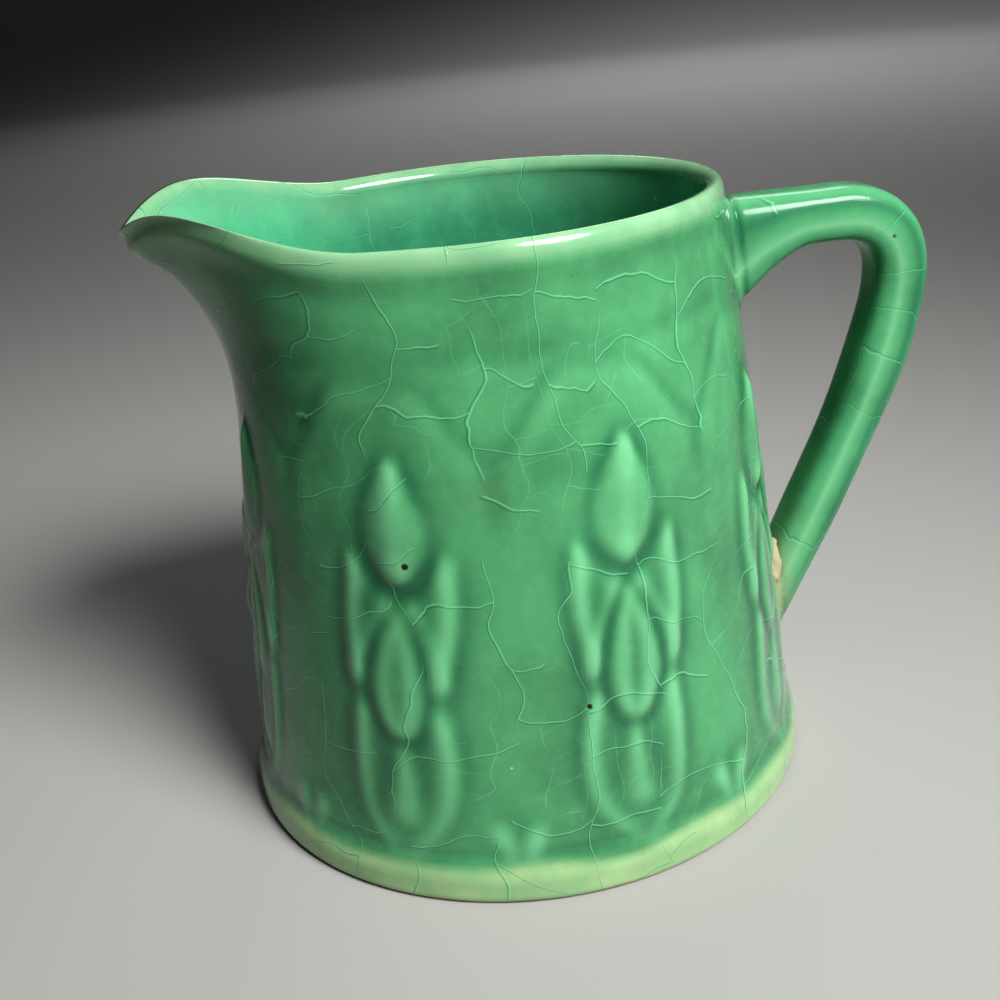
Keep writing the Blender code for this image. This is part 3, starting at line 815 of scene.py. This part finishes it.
PINHOLES = (on_wall(-115.5, 70.5, 0.8, 1.3), on_wall(-84.0, 39.8, 0.65),
            on_wall(-115.3, 65.0, 0.4), on_wall(-96.0, 31.0, 0.4),
            ((87.0 * MM, -6.6 * MM, 109.0 * MM), 0.9 * MM))
IRON_SPECKS = (on_wall(-78.0, 119.5, 0.6), on_wall(-76.8, 119.6, 0.55), on_wall(-79.2, 119.0, 0.4))


def sway(nodes, vector, scale, amount):
    """The same coordinates, pushed about by a noise."""
    push = nodes.noise(vector, scale, 2.0)["Color"]
    offset = nodes.add("ShaderNodeVectorMath", {0: push, 1: (0.5, 0.5, 0.5)},
                       operation="SUBTRACT").outputs[0]
    bend = nodes.add("ShaderNodeVectorMath", {0: offset, "Scale": amount},
                     operation="SCALE").outputs[0]
    return nodes.add("ShaderNodeVectorMath", {0: vector, 1: bend}, operation="ADD").outputs[0]


def glaze_material(name, middle, crazed, coat):
    """Coloured glaze under a clear coat. crazed is how strongly its cracks show."""
    nodes = Nodes(name)
    place = nodes.place()
    # Distances along the surface, pushed about so that the cracks wander.
    flow = nodes.add("ShaderNodeCombineXYZ", {"X": nodes.attribute("flow_u"),
                                              "Y": nodes.attribute("flow_v")}).outputs[0]
    warped = sway(nodes, flow, 30.0, 0.030)
    warped = sway(nodes, warped, 170.0, 0.0017)
    # Each crack also gets a painted shadow: the same cracks, shifted a little aside and drawn
    # darker.
    beside_by = (CRACK_SHADE_OFFSET, CRACK_SHADE_OFFSET, 0.0)
    beside = nodes.add("ShaderNodeVectorMath", {0: warped, 1: beside_by},
                       operation="ADD").outputs[0]
    coarse = crazing(nodes, warped, 0.18 * MM, *COARSE_CRACKS)
    shade = crazing(nodes, beside, 0.22 * MM, *COARSE_CRACKS)
    fine = crazing(nodes, warped, 0.14 * MM, *FINE_CRACKS)
    dense = nodes.between(nodes.noise(flow, 26.0, 1.0)["Fac"], 0.47, 0.60, 0.0, 0.45)
    crack = nodes.math("MAXIMUM", coarse, nodes.math("MULTIPLY", fine, dense))

    # Uneven colour, then where the glaze has gathered or run thin; on the handle the same masks
    # paint shade and a highlight band.
    cloud = nodes.noise(place, 38.0, 3.0)["Fac"]
    mottle = nodes.noise(place, 420.0, 2.0)["Fac"]
    turned_in = nodes.attribute("inner_share")
    light = nodes.mix(turned_in, middle, GLAZE_INNER)
    dark = nodes.mix(turned_in, tuple(CLOUD_DARKNESS * c for c in middle),
                     tuple(CLOUD_DARKNESS * c for c in GLAZE_INNER))
    colour = nodes.mix(nodes.between(cloud, 0.35, 0.7), light, dark)
    stretch = nodes.add("ShaderNodeVectorMath", {0: flow, 1: (1.0, 0.22, 1.0)},
                        operation="MULTIPLY").outputs[0]
    streak = nodes.noise(stretch, 95.0, 3.0)["Fac"]
    colour = nodes.mix(nodes.between(streak, 0.35, 0.65, 0.0, 0.30), colour, dark)
    colour = nodes.mix(nodes.between(mottle, 0.4, 0.8, 0.0, 0.08), colour, GLAZE_PALE)
    colour = nodes.mix(nodes.math("MULTIPLY", nodes.attribute("pooled_glaze_and_painted_shade"), 0.68),
                       colour, GLAZE_DEEP)
    colour = nodes.mix(nodes.math("MULTIPLY", nodes.attribute("thin_glaze_and_painted_highlight"), 0.50),
                       colour, GLAZE_PALE)
    patchy = nodes.between(nodes.noise(place, 120.0, 3.0)["Fac"], 0.3, 0.7, 0.7, 1.0)
    colour = nodes.mix(nodes.math("MULTIPLY", nodes.attribute("glaze_foot"), patchy),
                       colour, GLAZE_FOOT)
    colour = nodes.mix(nodes.math("MULTIPLY", nodes.attribute("edge_glaze_and_painted_highlight"), patchy),
                       colour, GLAZE_EDGE)
    stain = nodes.between(nodes.noise(place, 24.0, 4.0)["Fac"], 0.66, 0.78, 0.0, 0.18)
    colour = nodes.mix(stain, colour, GLAZE_STAIN)
    # Painted shadow beside each crack, then the pale crack line itself.
    colour = nodes.mix(nodes.math("MULTIPLY", shade, 0.8 * crazed), colour, GLAZE_DEEP)
    colour = nodes.mix(nodes.math("MULTIPLY", crack, crazed), colour, CRACK_PALE)

    # Pinholes, pale flecks and iron specks.
    spots = nodes.add("ShaderNodeTexVoronoi", {"Vector": place, "Scale": 95.0})
    draw = nodes.add("ShaderNodeSeparateColor",
                     {"Color": spots.outputs["Color"]}).outputs["Red"]
    dot = nodes.between(spots.outputs["Distance"], 0.022, 0.045, 1.0, 0.0)
    pinhole = nodes.math("MULTIPLY", dot, nodes.math("GREATER_THAN", draw, 0.95))
    speck = nodes.math("MULTIPLY", dot, nodes.math("LESS_THAN", draw, 0.13))
    colour = nodes.mix(pinhole, colour, PINHOLE_DARK)
    colour = nodes.mix(speck, colour, FLECK_PALE)
    for where, size in PINHOLES:
        hole = spot(nodes, place, where, size)
        pinhole = nodes.math("MAXIMUM", pinhole, hole)
        colour = nodes.mix(hole, colour, PINHOLE_DARK)
    for where, size in IRON_SPECKS:
        colour = nodes.mix(spot(nodes, place, where, size), colour, IRON_BROWN)
    bare = nodes.attribute("bare_clay")
    colour = nodes.mix(bare, colour, CLAY_BUFF)

    nodes.feed(nodes.shader, "Base Color", colour)
    rough = nodes.between(nodes.noise(place, 160.0, 3.0)["Fac"], 0.3, 0.75, 0.16, 0.30)
    rough = nodes.math("MAXIMUM", rough, nodes.math("MULTIPLY", bare, 0.8))
    nodes.feed(nodes.shader, "Roughness", rough)
    nodes.feed(nodes.shader, "Specular IOR Level", 0.12)
    nodes.feed(nodes.shader, "Coat Weight", coat)
    nodes.feed(nodes.shader, "Coat Roughness", 0.05)
    nodes.feed(nodes.shader, "Coat IOR", 1.38)

    ripple = nodes.noise(place, 70.0, 2.0)["Fac"]
    raised = nodes.math("ADD", nodes.math("MULTIPLY", crack, 0.28 * crazed),
                        nodes.math("MULTIPLY", ripple, 0.55))
    raised = nodes.math("SUBTRACT", raised, nodes.math("MULTIPLY", pinhole, 0.6))
    bump = nodes.add("ShaderNodeBump", {"Height": raised, "Distance": 0.22 * MM,
                                        "Strength": 0.8}).outputs[0]
    nodes.feed(nodes.shader, "Normal", bump)
    nodes.feed(nodes.shader, "Coat Normal", bump)
    return nodes.material


def clay_material():
    """Unglazed clay with grit, and a trace of glaze at the foot's edge."""
    nodes = Nodes("bare_clay_body")
    place = nodes.place()
    grain = nodes.noise(place, 900.0, 4.0, 0.7)["Fac"]
    cloud = nodes.noise(place, 45.0, 3.0)["Fac"]
    colour = nodes.mix(nodes.between(cloud, 0.3, 0.7), CLAY_BUFF, CLAY_WARM)
    colour = nodes.mix(nodes.between(grain, 0.55, 0.75, 0.0, 0.5), colour, CLAY_GRIT)
    rim = nodes.between(nodes.attribute("foot_share"), 0.93, 0.99)
    colour = nodes.mix(nodes.math("MULTIPLY", rim, 0.35), colour, GLAZE_EDGE)
    nodes.feed(nodes.shader, "Base Color", colour)
    nodes.feed(nodes.shader, "Roughness", nodes.between(grain, 0.3, 0.7, 0.75, 0.95))
    bump = nodes.add("ShaderNodeBump", {"Height": grain, "Distance": 0.18 * MM}).outputs[0]
    nodes.feed(nodes.shader, "Normal", bump)
    return nodes.material


def stage_material():
    """Pale floor with a barely uneven tone."""
    nodes = Nodes("pale_stage")
    tone = nodes.noise(nodes.place(), 3.0, 2.0)["Fac"]
    nodes.feed(nodes.shader, "Base Color", nodes.mix(tone, *STAGE_TONES))
    nodes.feed(nodes.shader, "Roughness", 0.75)
    return nodes.material


# ---------------------------------------------------------------- stage, light, camera
def build_stage(material):
    """Pale floor that sweeps up into a low round backdrop."""
    floor_radius = 2.2
    sweep = 0.8
    wall_top = 2.0
    profile = [(0.002, 0.0), (0.3, 0.0), (0.9, 0.0), (floor_radius, 0.0)]
    for i in range(1, 13):
        turn = math.pi / 2 * i / 12
        profile.append((floor_radius + sweep * math.sin(turn), sweep * (1 - math.cos(turn))))
    profile.append((floor_radius + sweep, wall_top))
    turn = np.linspace(0, 2 * math.pi, 96, endpoint=False)
    points = np.array([np.stack([r * np.cos(turn), r * np.sin(turn),
                                 np.full(turn.shape, z - STAGE_GAP)], -1)
                       for r, z in reversed(profile)])
    mesh = grid_mesh("stage", points, True, {})
    stage = bpy.data.objects.new("stage", mesh)
    bpy.context.scene.collection.objects.link(stage)
    mesh.materials.append(material)


def add_light(name, azimuth, elevation, distance, size, watts, colour, target, spread):
    """Round area lamp that faces its target."""
    light = bpy.data.lights.new(name, "AREA")
    light.shape = "DISK"
    light.size = size
    light.energy = watts
    light.color = colour
    light.spread = math.radians(spread)
    lamp = bpy.data.objects.new(name, light)
    bpy.context.scene.collection.objects.link(lamp)
    turn = math.radians(azimuth)
    lift = math.radians(elevation)
    away = Vector((math.cos(lift) * math.cos(turn), math.cos(lift) * math.sin(turn),
                   math.sin(lift)))
    lamp.location = Vector(target) + distance * away
    lamp.rotation_euler = away.to_track_quat("Z", "Y").to_euler()


def build_light():
    """Key from the front right, weak fill from behind, a wash on the floor beyond."""
    middle = (0.0, 0.0, RIM_HEIGHT / 2)
    add_light("key", azimuth=-58.0, elevation=43.0, distance=0.80, size=0.38, watts=1.60,
              colour=(1.0, 0.985, 0.96), target=middle, spread=62)
    add_light("fill", azimuth=120.0, elevation=55.0, distance=0.90, size=0.60, watts=0.25,
              colour=(0.93, 0.97, 1.0), target=middle, spread=150)
    add_light("backdrop", azimuth=88.0, elevation=72.0, distance=1.3, size=0.9, watts=5.0,
              colour=(1.0, 1.0, 0.99), target=(0.55, 1.4, 0.0), spread=110)
    world = bpy.data.worlds.new("soft_sky")
    bpy.context.scene.world = world
    world.use_nodes = True
    background = world.node_tree.nodes["Background"]
    background.inputs["Color"].default_value = (0.93, 0.96, 1.0, 1.0)
    background.inputs["Strength"].default_value = 0.05


def build_camera():
    """Camera that looks down on the pitcher from the front, a little rolled."""
    camera = bpy.data.cameras.new("camera")
    holder = bpy.data.objects.new("camera", camera)
    bpy.context.scene.collection.objects.link(holder)
    ahead = Vector((-math.sin(CAMERA_TURN) * math.cos(CAMERA_TILT),
                    math.cos(CAMERA_TURN) * math.cos(CAMERA_TILT), math.sin(CAMERA_TILT)))
    level = ahead.to_track_quat("-Z", "Y").to_matrix().to_4x4()
    rolled = level @ Matrix.Rotation(CAMERA_ROLL, 4, "Z")
    holder.matrix_world = Matrix.Translation(CAMERA_PLACE) @ rolled
    camera.lens = CAMERA_LENS
    camera.sensor_width = 36.0
    camera.shift_x, camera.shift_y = CAMERA_SHIFT
    camera.clip_start = 0.01
    bpy.context.scene.camera = holder


# ---------------------------------------------------------------- build
wall_glaze = glaze_material("crazed_green_glaze", GLAZE_MID, crazed=0.50, coat=0.70)
slices = Slices()
edge_row, seam_row, seam_run = build_skin(slices, wall_glaze)
inner_glaze = glaze_material("inner_green_glaze", GLAZE_INNER, crazed=0.26, coat=0.70)
build_inside(slices, inner_glaze, seam_row, seam_run)
clay = clay_material()
build_bare_foot(slices, clay, edge_row)
handle_glaze = glaze_material("crazed_handle_glaze", GLAZE_HANDLE, crazed=0.42, coat=0.22)
handle_points = build_handle(handle_glaze)
build_crumb(handle_points, clay)
build_stage(stage_material())
build_light()
build_camera()
bpy.context.scene.view_settings.view_transform = "Standard"
bpy.context.scene.view_settings.look = "Medium High Contrast"
